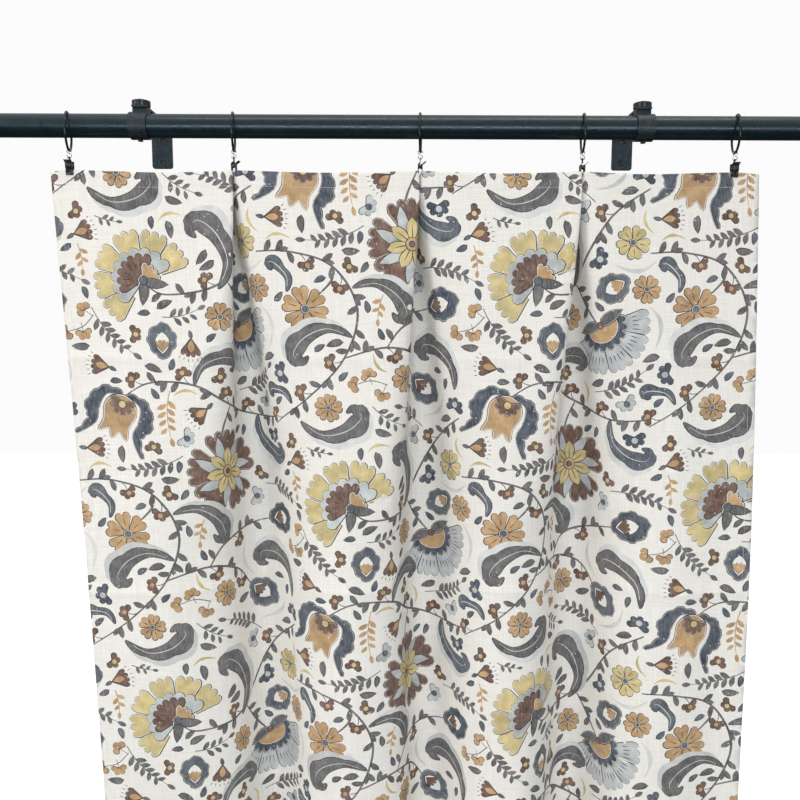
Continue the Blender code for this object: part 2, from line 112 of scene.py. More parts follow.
def pale_sky(seen, above, below):
    """A white sky that lights the object more from above than from below."""
    sky = bpy.data.worlds.new("pale_sky")
    sky.use_nodes = True
    nodes, links = sky.node_tree.nodes, sky.node_tree.links
    background = nodes["Background"]
    way, parts, height, mixed = (nodes.new("ShaderNode" + kind) for kind in
                                 ("TexCoord", "SeparateXYZ", "MapRange", "Mix"))
    links.new(way.outputs["Generated"], parts.inputs[0])
    links.new(parts.outputs["Z"], height.inputs[0])
    for number, value in enumerate((-0.3, 0.9, below, above), 1):
        height.inputs[number].default_value = value
    links.new(nodes.new("ShaderNodeLightPath").outputs["Is Camera Ray"], mixed.inputs[0])
    links.new(height.outputs[0], mixed.inputs[2])
    mixed.inputs[3].default_value = seen
    links.new(mixed.outputs[0], background.inputs["Strength"])
    background.inputs["Color"].default_value = (1, 1, 1, 1)
    bpy.context.scene.world = sky


studio_floor(0.7, 0.62)
pale_sky(0.97, 0.92, 0.05)
soft_light("front_light", (0.2, -2.9, -0.68), (0, rod_y, -0.62), (3.4, 0.34), 50, (0.95, 0.98, 1.0))
soft_light("left_light", (-2.4, -1.6, 0.3), (0, rod_y, -0.6), (0.9, 1.6), 30, (1.0, 0.98, 0.94))
soft_light("top_light", (0.2, -0.7, 1.9), (0, rod_y, -0.1), (2.4, 0.4), 16, (1.0, 0.96, 0.90))
bpy.context.scene.view_settings.view_transform = "Standard"


# The rod: drawn steel tube with a satin black powder coat, fine orange peel and a few handling marks.
# It lies in the two cups and the rings slide along it.
class Paint:
    """A small hand for wiring a material's nodes."""

    def __init__(self, name, **values):
        self.material = bpy.data.materials.new(name)
        self.material.use_nodes = True
        self.nodes = self.material.node_tree.nodes
        self.shader = self.nodes["Principled BSDF"]
        for socket, value in values.items():
            self.shader.inputs[socket.replace("_", " ")].default_value = value

    def node(self, kind, settings=(), **inputs):
        made = self.nodes.new("ShaderNode" + kind)
        for key, value in dict(settings).items():
            setattr(made, key, value)
        for key, value in inputs.items():
            self.feed(value, made.inputs[int(key[1:]) if key[1:].isdigit() else key.replace("_", " ")])
        return made

    def feed(self, value, socket):
        if isinstance(value, bpy.types.NodeSocket):
            self.material.node_tree.links.new(value, socket)
        elif isinstance(value, bpy.types.Node):
            self.material.node_tree.links.new(value.outputs[0], socket)
        else:
            socket.default_value = value

    def place(self, stretch=(1, 1, 1), source="Object"):
        """Where a point is on the piece, in metres, stretched along the axes."""
        at = self.node("TexCoord").outputs[source]
        return self.node("Mapping", i0=at, Scale=stretch) if tuple(stretch) != (1, 1, 1) else at

    def noise(self, scale, detail=3.0, stretch=(1, 1, 1), source="Object", roughness=0.5):
        return self.node("TexNoise", i0=self.place(stretch, source), Scale=scale, Detail=detail,
                         Roughness=roughness).outputs[0]

    def ramp(self, value, low, high, start=0.0, end=1.0):
        """The value's range from low to high, drawn out from start to end."""
        return self.node("MapRange", i0=value, i1=low, i2=high, i3=start, i4=end).outputs[0]

    def mix(self, share, first, second):
        blend = self.node("Mix", {"data_type": "RGBA"}, i0=share)
        self.feed(first, blend.inputs[6])
        self.feed(second, blend.inputs[7])
        return blend.outputs[2]

    def bump(self, height, distance, strength=0.5):
        rough = self.node("Bump", Strength=strength, Distance=distance, Height=height)
        self.feed(rough.outputs[0], self.shader.inputs["Normal"])


def coated(name, dark, light, roughness, worn=0.0, grain=900.0, metallic=0.0, depth=0.00004):
    """Paint or coating on metal: mottled, a little rougher in patches, brighter along worn edges."""
    paint = Paint(name, Metallic=metallic, Specular_IOR_Level=0.5, Specular_Tint=(0.82, 0.95, 1.0, 1))
    patches = paint.ramp(paint.noise(38, 5), 0.35, 0.65)
    colour = paint.mix(patches, (*dark, 1), (*light, 1))
    if worn:
        edge = paint.ramp(paint.node("NewGeometry").outputs["Pointiness"], 0.52, 0.60)
        scuffs = paint.ramp(paint.noise(260, 4), 0.45, 0.60)
        rub = paint.node("Math", {"operation": "MULTIPLY"}, i0=edge, i1=scuffs)
        colour = paint.mix(paint.ramp(rub.outputs[0], 0.0, 1.0, 0.0, worn), colour, (0.30, 0.29, 0.28, 1))
    paint.feed(colour, paint.shader.inputs["Base Color"])
    paint.feed(paint.ramp(paint.noise(120, 4), 0.3, 0.7, roughness - 0.06, roughness + 0.07),
               paint.shader.inputs["Roughness"])
    paint.bump(paint.noise(grain, 2), depth)
    return paint.material


def wear(material, *names):
    """Give CAD sub-parts their finish."""
    for name in names:
        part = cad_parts[name]
        part.data.materials.clear()
        part.data.materials.append(material)


def soften(width, *names, segments=2):
    """Round the sharp edges of CAD sub-parts."""
    for name in names:
        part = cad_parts[name]
        edge = part.modifiers.new("soft_edges", "BEVEL")
        edge.width, edge.segments, edge.limit_method = width, segments, "ANGLE"
        edge.angle_limit = math.radians(40)
        edge.use_clamp_overlap = True
        edge.harden_normals = True
        part.data.shade_smooth()
        part.data.set_sharp_from_angle(angle=math.radians(35))


def add_piece(name, mesh, material, body, smooth=True):
    """A new piece in the scene that rides on a body of the frame."""
    piece = bpy.data.objects.new(name, mesh)
    bpy.context.scene.collection.objects.link(piece)
    if material:
        mesh.materials.append(material)
    if smooth:
        mesh.shade_smooth()
    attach(piece, body)
    return piece


rod_coat = coated("satin_powder_coat", (0.003, 0.011, 0.017), (0.005, 0.015, 0.021), 0.31, grain=1500,
                  depth=0.00001)
turns, stations = 96, np.linspace(rod_low.x, rod_high.x, 60)
tube = bmesh.new()
wall_thickness = 0.0012
for radius, outward in ((rod_radius, 1), (rod_radius - wall_thickness, -1)):
    around = [(radius * math.cos(angle), radius * math.sin(angle))
              for angle in (2 * math.pi * i / turns for i in range(turns))]
    loops = [[tube.verts.new((x, rod_y + y, z)) for y, z in around] for x in stations]
    for left, right in zip(loops, loops[1:]):
        for i in range(turns):
            face = (left[i], left[(i + 1) % turns], right[(i + 1) % turns], right[i])
            tube.faces.new(face if outward < 0 else face[::-1])
tube.verts.ensure_lookup_table()
shell = len(stations) * turns
for start in (0, shell - turns):
    for i in range(turns):
        j = (i + 1) % turns
        outside, inside = (start + i, start + j), (shell + start + j, shell + start + i)
        tube.faces.new([tube.verts[k] for k in outside + inside])
bmesh.ops.recalc_face_normals(tube, faces=tube.faces)
tube_mesh = bpy.data.meshes.new("rod_tube")
tube.to_mesh(tube_mesh)
tube.free()
rod_tube = add_piece("rod_tube", tube_mesh, rod_coat, "rod_carrier")
tube_mesh.set_sharp_from_angle(angle=math.radians(40))
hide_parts("rod")
cap_plastic = coated("end_cap_coat", (0.010, 0.014, 0.018), (0.016, 0.021, 0.026), 0.42, grain=700,
                     depth=0.00003)
wear(cap_plastic, "end_cap_left", "end_cap_right")
soften(0.0006, "end_cap_left", "end_cap_right")

# The brackets: bent strip steel, punched and slotted, powder coated like the rod and screwed to the wall.
# Edges and the slot's lips are rubbed where the parts were handled.
strip_coat = coated("strip_powder_coat", (0.005, 0.016, 0.022), (0.008, 0.020, 0.027), 0.42, worn=0.06,
                    grain=1100, depth=0.00001)
screw_black = coated("blackened_screw", (0.010, 0.011, 0.012), (0.016, 0.017, 0.018), 0.38, worn=0.25,
                     metallic=0.6, depth=0.00001)
for side in ("left", "right"):
    wear(strip_coat, "bracket_" + side)
    soften(0.0004, "bracket_" + side)
    wear(screw_black, "wall_screw_lower_" + side, "wall_screw_upper_" + side, "grub_screw_" + side,
         "clamp_stud_" + side)
    soften(0.00025, "clamp_stud_" + side, "grub_screw_" + side)

# The cups and knobs: zinc castings painted black, with a slightly pebbled skin and rounded edges.
# The cup is open at the front and above, and the fluted knob draws its boss up against the arm.
cast_coat = coated("cast_zinc_paint", (0.002, 0.008, 0.012), (0.004, 0.011, 0.015), 0.44, worn=0.05,
                   grain=500, depth=0.00003)
knob_coat = coated("knob_paint", (0.009, 0.011, 0.013), (0.013, 0.015, 0.017), 0.30, worn=0.06, grain=600,
                   depth=0.00001)
for side in ("left", "right"):
    wear(cast_coat, "cup_" + side)
    wear(knob_coat, "knob_" + side)
    soften(0.0005, "cup_" + side)
    soften(0.0004, "knob_" + side, segments=3)

# The rings: round black wire bent to a circle, its ends butted and welded at the top of the ring,
# where the bead shows as a low swelling. Each hangs on the rod at its own slight angle.
wire_coat = coated("black_ring_wire", (0.006, 0.007, 0.008), (0.010, 0.011, 0.012), 0.28, metallic=0.2,
                   grain=1800, depth=0.00001)


def swept(path, radii, sides=12, closed=False):
    """A round wire of changing radius along a list of points."""
    wire = bmesh.new()
    points = [Vector(p) for p in path]
    count = len(points)
    ahead = []
    for i in range(count):
        before = points[i - 1 if closed or i else 0]
        after = points[(i + 1) % count if closed or i < count - 1 else i]
        ahead.append((after - before).normalized())
    across = ahead[0].orthogonal().normalized()
    loops = []
    for i in range(count):
        across = (across - across.dot(ahead[i]) * ahead[i]).normalized()
        other = ahead[i].cross(across)
        turn = [2 * math.pi * j / sides for j in range(sides)]
        loops.append([wire.verts.new(points[i] + radii[i] * (math.cos(a) * across + math.sin(a) * other))
                      for a in turn])
    pairs = list(zip(loops, loops[1:])) + ([(loops[-1], loops[0])] if closed else [])
    for here, there in pairs:
        for j in range(sides):
            wire.faces.new((here[j], here[(j + 1) % sides], there[(j + 1) % sides], there[j]))
    if not closed:
        wire.faces.new(loops[0][::-1])
        wire.faces.new(loops[-1])
    bmesh.ops.recalc_face_normals(wire, faces=wire.faces)
    mesh = bpy.data.meshes.new("wire")
    wire.to_mesh(mesh)
    wire.free()
    return mesh


ring_places, wire_radius = [], 0.0016
for number in range(1, 6):
    low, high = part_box("ring_%d" % number)
    middle = (low + high) / 2
    ring_places.append(middle.x)
    outer = (high.z - low.z) / 2
    reach = outer - wire_radius
    yaw = math.copysign(math.atan2(high.x - low.x - 2 * wire_radius, high.y - low.y - 2 * wire_radius),
                        (1, 1, -1, -1, -1)[number - 1])
    hoop = []
    thick = []
    for i in range(120):
        angle = 2 * math.pi * i / 120
        flat = reach * math.sin(angle)
        hoop.append(middle + Vector((-flat * math.sin(yaw), flat * math.cos(yaw), reach * math.cos(angle))))
        thick.append(wire_radius * (1 + 0.10 * math.exp(-((min(i, 120 - i) - 7) / 1.6) ** 2)))
    ring = add_piece("ring_wire_%d" % number, swept(hoop, thick, 14, closed=True), wire_coat,
                     "ring_%d" % number)
    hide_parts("ring_%d" % number)

# The links: an S of bright spring wire, its upper eye closed round the ring and its lower one
# carrying the clip, so that the clip can swing and turn to face the pleat.
link_metal = coated("bright_link_wire", (0.42, 0.40, 0.37), (0.58, 0.56, 0.52), 0.24, metallic=1.0,
                    grain=2500, depth=0.000005)
for number in range(1, 6):
    low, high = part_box("link_%d" % number)
    middle = (low + high) / 2
    wire_half = (high.y - low.y) / 2
    eye = (high.x - low.x) / 2 - wire_half
    top, bottom = high.z - eye - wire_half, low.z + eye + wire_half
    path = [(middle.x + eye * math.cos(math.radians(a)), middle.y, top + eye * math.sin(math.radians(a)))
            for a in range(-30, 271, 12)]
    path += [(middle.x + eye * math.cos(math.radians(a)), middle.y, bottom + eye * math.sin(math.radians(a)))
             for a in range(78, -211, -12)]
    link = add_piece("link_wire_%d" % number, swept(path, [wire_half] * len(path), 10), link_metal,
                     "clip_%d" % number)
    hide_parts("link_%d" % number)

# The clips: two pressed steel jaws in black nickel, rolled at the edges, that swing on a riveted pin.
# A coil spring round the pin shuts them on the cloth.
jaw_finish = coated("black_nickel", (0.010, 0.011, 0.012), (0.018, 0.019, 0.020), 0.30, worn=0.30,
                    metallic=0.6, grain=1600, depth=0.00001)
pin_metal = coated("clip_pin_steel", (0.30, 0.29, 0.27), (0.42, 0.41, 0.39), 0.30, metallic=1.0,
                   grain=2000, depth=0.000005)
coil_wire = 0.00026
for number in range(1, 6):
    wear(jaw_finish, "jaw_back_%d" % number, "jaw_front_%d" % number)
    soften(0.00018, "jaw_back_%d" % number, "jaw_front_%d" % number)
    wear(pin_metal, "pin_%d" % number)
    soften(0.0002, "pin_%d" % number)
    low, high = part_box("spring_%d" % number)
    middle, size = (low + high) / 2, high - low
    along = Vector((1, 0, 0)) if size.x > size.y else Vector((0, 1, 0))
    across = Vector((0, 0, 1)).cross(along)
    length, coil = max(size.x, size.y) - 2 * coil_wire, size.z / 2 - coil_wire
    coils, steps = 9, 9 * 16
    helix = []
    for i in range(steps + 1):
        angle = 2 * math.pi * coils * i / steps
        helix.append(middle + along * length * (i / steps - 0.5)
                     + coil * (math.cos(angle) * across + math.sin(angle) * Vector((0, 0, 1))))
    spring = add_piece("coil_spring_%d" % number, swept(helix, [coil_wire] * len(helix), 6), link_metal,
                       "clip_%d" % number)
    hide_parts("spring_%d" % number)

# The curtain: a stall panel of linen-look cloth, 1.219 m by 1.829 m flat, printed on the face only,
# pinched into a pleat by each of the three middle clips and held flat by the two end ones.
# Its print is a generic trailing floral, drawn here as outlines that are cut into the cloth's mesh.
# ---- drawing tools: every shape is a closed outline of complex numbers, metres, the imaginary axis down
def curve(*points, steps=7):
    """A smooth open line through its points."""
    p = np.array([points[0], *points, points[-1]], complex)
    t = np.linspace(0, 1, steps, endpoint=False)
    runs = [0.5 * (2 * b + (c - a) * t + (2 * a - 5 * b + 4 * c - d) * t ** 2
                   + (3 * b - a - 3 * c + d) * t ** 3) for a, b, c, d in zip(p, p[1:], p[2:], p[3:])]
    return np.concatenate([*runs, p[-1:]])


def brush(line, start, end, middle=None):
    """One brush stroke along a line, as wide as it says at its start, middle and end."""
    ahead = np.gradient(line)
    side = 1j * ahead / np.abs(ahead)
    width = np.interp(np.linspace(0, 1, len(line)), (0, 0.5, 1), (start, middle or max(start, end), end)) / 2
    return np.concatenate([line + side * width, (line - side * width)[::-1]])


def grow(shape, by):
    """The same outline moved outward; by may be one number or one for each point."""
    after, ahead = np.roll(shape, -1), np.roll(shape, -1) - np.roll(shape, 1)
    way_round = np.sign(np.sum(shape.real * after.imag - shape.imag * after.real))
    return shape - 1j * way_round * by * ahead / (np.abs(ahead) + 1e-12)


def leaf(length, width, bend=0.0, steps=6, belly=0.8):
    """A pointed leaf that starts at 0 and runs to the right."""
    t = np.linspace(0, 1, steps)
    spine = length * (t + 1j * bend * t * (t - 0.35))
    half = width / 2 * np.sin(np.pi * t ** belly) ** 0.75
    return np.concatenate([spine - 1j * half, (spine + 1j * half)[-2:0:-1]])


def fan(inner, outer, start, end, lobes, bump=0.12, steps=4):
    """A fan between two radii, angles in degrees, with a lobed outer rim."""
    t = np.linspace(0, 1, lobes * steps + 1)
    rim = outer * (1 - bump + bump * np.abs(np.sin(np.pi * lobes * t)) ** 0.7)
    outside = rim * np.exp(1j * np.radians(start + (end - start) * t))
    inside = inner * np.exp(1j * np.radians(np.linspace(end, start, 4 if inner else 1)))
    return np.concatenate([outside, inside])


def disc(radius, at=0, steps=10):
    return at + radius * np.exp(2j * np.pi * np.arange(steps) / steps)


def turned(art, degrees=0.0, size=1.0, at=0, flip=False):
    """Some art, mirrored if flip is set, then made to size, turned and put at a place."""
    way = size * np.exp(1j * math.radians(degrees))
    return [((np.conj(shape) if flip else shape) * way + at, ink) for shape, ink in art]


def inked(shape, ink, line=0.0010, gap=0.0, slip=0.0004):
    """A filled shape in a dark line, printed a little out of register, with maybe a bare gap inside it."""
    art = [(grow(shape, line + gap) - slip * (1 - 0.6j), "line")]
    if gap:
        art.append((grow(shape, gap), "ground"))
    return [*art, (shape, ink)]


def ticks(angles, inner, outer, width=0.0011, ink="line"):
    """Short strokes along the radii of a flower."""
    art = []
    for number, angle in enumerate(angles):
        ray = np.exp(1j * math.radians(angle))
        reach = outer if number % 2 else outer - 0.2 * (outer - inner)
        art.append((brush(np.linspace(inner, reach, 3) * ray, width, 0.3 * width, width), ink))
    return art


# ---- flowers, each facing right from its stalk at 0
def great_fan():
    art = []
    for start in (-112, -76, -38, 2, 40, 77):
        art += inked(fan(0.026, 0.063, start, start + 33, 3, 0.11), "straw", gap=0.0006)
    art += inked(fan(0.012, 0.0405, -104, 104, 9, 0.15), "mist", gap=0.0004)
    art += inked(fan(0.008, 0.0335, -86, 62, 7, 0.16), "umber")
    art += ticks(range(-72, 60, 21), 0.017, 0.028)
    art += inked(fan(0.0, 0.0215, 38, 128, 4, 0.20), "sand", gap=0.0008)
    for side in (-1, 1):
        art += turned(inked(leaf(0.032, 0.012, -0.25 * side), "charcoal"), 146 * side)
    return art + inked(disc(0.0052), "slate")


def rosette():
    art = []
    for start, lobes in ((8, 4), (78, 3), (140, 4), (214, 4), (288, 3)):
        art += inked(fan(0.014, 0.058, start, start + 60, lobes, 0.13), "umber", gap=0.0005)
    for angle in range(20, 380, 51):
        art += turned(inked(leaf(0.050, 0.014, 0.25, belly=1.3), "mist"), angle)
    for angle in range(-4, 340, 51):
        art += turned(inked(leaf(0.034, 0.015, 0.0, belly=1.5), "straw"), angle)
        art += turned([(brush(np.linspace(0.009, 0.024, 3) + 0j, 0.0012, 0.0005), "line")], angle)
    return art + inked(disc(0.0085), "sand") + inked(disc(0.0035), "slate")


def skirt_flower():
    art = []
    for start in (-84, -50, -16, 19, 53):
        art += inked(fan(0.022, 0.064, start, start + 31, 3, 0.09), "mist", gap=0.0004)
        art += ticks(range(start + 5, start + 30, 7), 0.042, 0.053)
    art += inked(fan(0.012, 0.0345, -92, 92, 9, 0.17), "navy", gap=0.0006)
    art += inked(fan(0.0, 0.0225, -90, 90, 1, 0.0, 9), "sand", gap=0.0008)
    for side in (-1, 1):
        art += turned(inked(leaf(0.036, 0.0135, -0.20 * side), "charcoal", gap=0.0004), 108 * side)
    return art + inked(disc(0.0042), "umber")


def tulip():
    half = (0.006 + 0.016j, 0.022 + 0.024j, 0.044 + 0.019j, 0.062 + 0.022j, 0.053 + 0.008j)
    bulb = curve(0, *half, 0.066, *np.conj(half[::-1]), 0, steps=3)[:-1]
    art = []
    for flip in (False, True):
        spine = curve(-0.002 + 0.004j, 0.004 + 0.030j, 0.030 + 0.040j, 0.052 + 0.034j, 0.078 + 0.050j,
                      steps=5)
        blade = brush(spine, 0.002, 0.001, 0.019)
        lobes = np.zeros(len(blade))
        lobes[:len(spine)] = 0.003 * np.abs(np.sin(np.arange(len(spine)) * 1.05))
        art += turned(inked(grow(blade, lobes), "navy", gap=0.0004), flip=flip)
    art += inked(bulb, "sand", gap=0.0010)
    art += inked(0.011 + fan(0.0, 0.0185, -115, 115, 6, 0.24), "umber", gap=0.0003)
    return art + inked(disc(0.0052, 0.013), "straw")


def star_flower(petals=6, ink="sand", radius=0.033):
    art = []
    for number in range(petals):
        middle = 360 * number / petals + 12
        reach = 0.42 * 360 / petals
        art += inked(fan(0.005, radius, middle - reach, middle + reach, 2, 0.15), ink)
        art += turned([(brush(np.linspace(0.4, 0.75, 3) * radius + 0j, 0.0011, 0.0004), "line")], middle)
    return art + inked(disc(0.17 * radius), "slate", gap=0.0007)


def drop_flower(outside="navy", inside="umber"):
    body = leaf(0.050, 0.036, 0.0, 15, 1.2)
    lobes = 0.0034 * np.abs(np.sin(np.arange(len(body)) * 0.84))
    art = inked(grow(body, lobes), outside, gap=0.0004)
    art += inked(0.007 + leaf(0.031, 0.020, 0.0, 8, 1.1), "ground", line=0.0008)
    return art + inked(0.010 + fan(0, 0.017, -42, 42, 4, 0.2), inside, line=0.0006)


def bell(ink="umber"):
    art = inked(fan(0.0, 0.027, -36, 36, 4, 0.16), ink)
    art += inked(0.002 + leaf(0.019, 0.010, 0.0, 5, 1.2), "sand", line=0.0008)
    art += ticks(range(-30, 40, 12), 0.030, 0.035, 0.0010)
    return art + turned(inked(leaf(0.012, 0.005), "slate", line=0.0007), 165)


def blossom(ink="umber", heart="sand", lobes=4, radius=0.013):
    art = inked(fan(0.0, radius, -118, 118, lobes, 0.26), ink, line=0.0008)
    return art + inked(disc(0.3 * radius, 0.3 * radius, 7), heart, line=0.0006)


def plume(length=0.105, width=0.030, ink="charcoal", hook=0.9, lobes=5):
    """A long leaf that ends in a hook, lobed along one side, with a pale ghost behind it."""
    spine = curve(0, (0.35 + 0.16j) * length, (0.72 + 0.05j) * length, (0.92 - 0.20j * hook) * length,
                  (0.80 - 0.34j * hook) * length, (0.70 - 0.26j * hook) * length, steps=5)
    blade = brush(spine, 0.0015, 0.0022, width)
    t = np.linspace(0, 1, len(spine))
    bumps = np.zeros(len(blade))
    bumps[:len(spine)] = 0.0036 * np.abs(np.sin(np.pi * lobes * t)) * (t < 0.75)
    blade = grow(blade, bumps)
    art = [(grow(blade, 0.0012) + (0.006 + 0.009j) * length / 0.105, "ghost")] if length > 0.06 else []
    art += inked(blade, ink)
    vein = spine[2:int(0.7 * len(spine))]
    return art + [(brush(vein, 0.0007, 0.0004, 0.0015), "ghost")]


def sprig(pairs=4, length=0.060, ink="charcoal", bend=0.25, leaf_length=0.0135):
    """A thin stalk with pairs of small oval leaves."""
    t = np.linspace(0, 1, 7)
    stalk = length * (t + 1j * bend * t * t)
    art = [(brush(stalk, 0.0014, 0.0008), ink)]
    for number in range(pairs):
        share = 0.22 + 0.70 * number / pairs
        at = length * (share + 1j * bend * share * share)
        size = leaf_length * (1.0 - 0.35 * share)
        lean = math.degrees(math.atan(2 * bend * share))
        for side in (-1, 1):
            shift = 0.35 * size * (side > 0)
            small = leaf(size, 0.46 * size, 0.15 * side, 5, 1.15)
            art += turned([(small, ink)], lean + side * 44, at=at + shift)
    tip = leaf(leaf_length * 0.8, 0.38 * leaf_length, 0, 5, 1.1)
    return art + turned([(tip, ink)], math.degrees(math.atan(2 * bend)), at=stalk[-1])


def posy(ink="umber", count=3, length=0.040):
    """A short stalk that carries a few small blossoms."""
    stalk = curve(0, 0.5 * length + 0.006j, length)
    art = [(brush(stalk, 0.0014, 0.0010), "charcoal")]
    for number in range(count):
        at = length * (1 - 0.42 * number)
        side = (0, 1, -1, 1)[number]
        end = at + 0.013j * side
        if side:
            art.append((brush(np.linspace(at - 0.005, end, 3), 0.0010, 0.0008), "charcoal"))
        art += turned(blossom(ink, lobes=3 + number % 2, radius=0.0115), 70 * side, at=end)
    return art


def swoosh(length=0.07, width=0.008, ink="ghost"):
    line = length * curve(0, 0.3 + 0.16j, 0.65 + 0.14j, 1.0 - 0.05j, steps=4)
    return [(brush(line, 0.0006, 0.0006, width), ink)]


def twig(kind, side):
    """What grows from a stem at one place: a leaf, a pair of leaves or a blossom on a short stalk."""
    lean = 48 * side
    if kind == "blossom":
        stalk = brush(curve(0, 0.007 + 0.004j * side, 0.012 + 0.011j * side, steps=3), 0.0013, 0.0010)
        return [(stalk, "charcoal")] + turned(blossom("umber", lobes=4, radius=0.0125), 55 * side,
                                              at=0.012 + 0.011j * side)
    art = turned(inked(leaf(0.0185, 0.0078, 0.25 * side, 6, 1.25), "charcoal", line=0.0006), lean)
    if kind == "pair":
        second = inked(leaf(0.0150, 0.0066, 0.0, 5, 1.25), "charcoal", line=0.0006)
        art += turned(second, 0.35 * lean, at=0.004)
    return art


# ---- one repeat of the print: columns of it are each dropped by half its height
repeat_width, repeat_height = 0.355, 0.660

stems = [
    curve(0.355 + 0.020j, 0.300 + 0.060j, 0.235 + 0.150j, 0.150 + 0.170j, 0.118 + 0.152j),
    curve(0.235 + 0.150j, 0.262 + 0.190j, 0.282 + 0.215j),
    curve(0.355 + 0.350j, 0.300 + 0.352j, 0.232 + 0.330j, 0.180 + 0.300j, 0.118 + 0.296j, 0.078 + 0.316j),
    curve(0.232 + 0.330j, 0.214 + 0.372j, 0.216 + 0.420j),
    curve(0.000 + 0.440j, 0.050 + 0.440j, 0.108 + 0.460j, 0.140 + 0.520j, 0.118 + 0.590j, 0.060 + 0.650j,
          0.000 + 0.690j),
    curve(0.108 + 0.460j, 0.105 + 0.480j, 0.080 + 0.505j),
    curve(0.118 + 0.590j, 0.180 + 0.575j, 0.235 + 0.590j, 0.262 + 0.622j),
    curve(0.180 + 0.575j, 0.205 + 0.545j, 0.250 + 0.530j, 0.300 + 0.520j),
]
flowers = [
    (great_fan, 0.118 + 0.150j, -128, 1.12, False),
    (rosette, 0.222 + 0.430j, 20, 1.08, False),
    (skirt_flower, 0.284 + 0.214j, 62, 1.1, False),
    (tulip, 0.078 + 0.316j, 112, 1.0, False),
    (lambda: star_flower(6), 0.066 + 0.520j, 5, 1.0, False),
    (drop_flower, 0.302 + 0.520j, -12, 1.15, False),
    (lambda: drop_flower("slate", "umber"), 0.262 + 0.622j, 40, 1.1, False),
    (plume, 0.224 + 0.162j, -92, 1.0, False),
    (plume, 0.180 + 0.300j, -40, 0.75, True),
    (plume, 0.135 + 0.490j, 15, 0.85, True),
    (plume, 0.130 + 0.560j, 175, 0.9, False),
    (lambda: plume(ink="slate"), 0.300 + 0.352j, 60, 0.8, False),
    (bell, 0.180 + 0.232j, 95, 1.0, False),
    (lambda: star_flower(5, "straw", 0.024), 0.330 + 0.095j, 0, 1.0, False),
]
extras = [
    (lambda: plume(0.095, 0.027, "charcoal", 0.9, 5), 5),
    (lambda: sprig(5, 0.080, "charcoal", 0.35, 0.0200), 5),
    (lambda: drop_flower("slate", "sand"), 2), (lambda: posy("sand", 3, 0.046), 2), (bell, 4),
    (lambda: plume(0.070, 0.020, "charcoal", 0.8, 4), 5), (lambda: star_flower(5, "sand", 0.020), 4),
    (lambda: sprig(4, 0.066, "sand", -0.3, 0.0180), 6), (lambda: posy("umber", 3, 0.046), 3),
    (lambda: plume(0.062, 0.017, "sand", 0.7, 3), 4), (lambda: blossom("navy", "mist", 5, 0.016), 4),
    (lambda: sprig(3, 0.050, "charcoal", -0.3, 0.0175), 12),
    (lambda: plume(0.050, 0.014, "slate", 0.6, 3), 8), (lambda: swoosh(0.060, 0.007, "ghost"), 8),
    (lambda: blossom("mist", "slate", 5, 0.015), 4), (lambda: sprig(2, 0.034, "sand", 0.2, 0.0150), 14),
    (lambda: blossom("umber", "straw", 4, 0.0125), 6),
    (lambda: inked(leaf(0.024, 0.0095, 0.3), "charcoal"), 14),
    (lambda: sprig(2, 0.030, "charcoal", 0.2, 0.0130), 22), (lambda: swoosh(0.034, 0.005, "straw"), 10),
    (lambda: inked(leaf(0.017, 0.0075, 0.3), "slate"), 22),
]


def within(points, shape):
    """Which of the points lie inside a closed outline."""
    a, b = shape[None], np.roll(shape, -1)[None]
    x, y = points.real[:, None], points.imag[:, None]
    rising, falling = (a.imag <= y) & (b.imag > y), (b.imag <= y) & (a.imag > y)
    rise = np.where(b.imag == a.imag, 1.0, b.imag - a.imag)
    right = (b.real - a.real) * (y - a.imag) / rise + a.real > x
    return ((rising & right).sum(1) - (falling & right).sum(1)) != 0


def cells(points):
    """The cells of a 2 mm grid over one repeat that points fall in, wherever on the cloth they are."""
    column = np.floor(points.real / repeat_width)
    across = points.real - column * repeat_width
    down = (points.imag - column * repeat_height / 2) % repeat_height
    return (across / 0.002).astype(int), (down / 0.002).astype(int)


def covered(art, margin):
    """Points 2 mm apart over some art and a margin round it."""
    found = []
    for shape, ink in art:
        wide = grow(shape, margin)
        us = np.arange(wide.real.min(), wide.real.max() + 0.002, 0.0019)
        vs = np.arange(wide.imag.min(), wide.imag.max() + 0.002, 0.0019)
        spots = (us[None] + 1j * vs[:, None]).ravel()
        found += [spots[within(spots, wide)], wide]
    return np.concatenate(found)


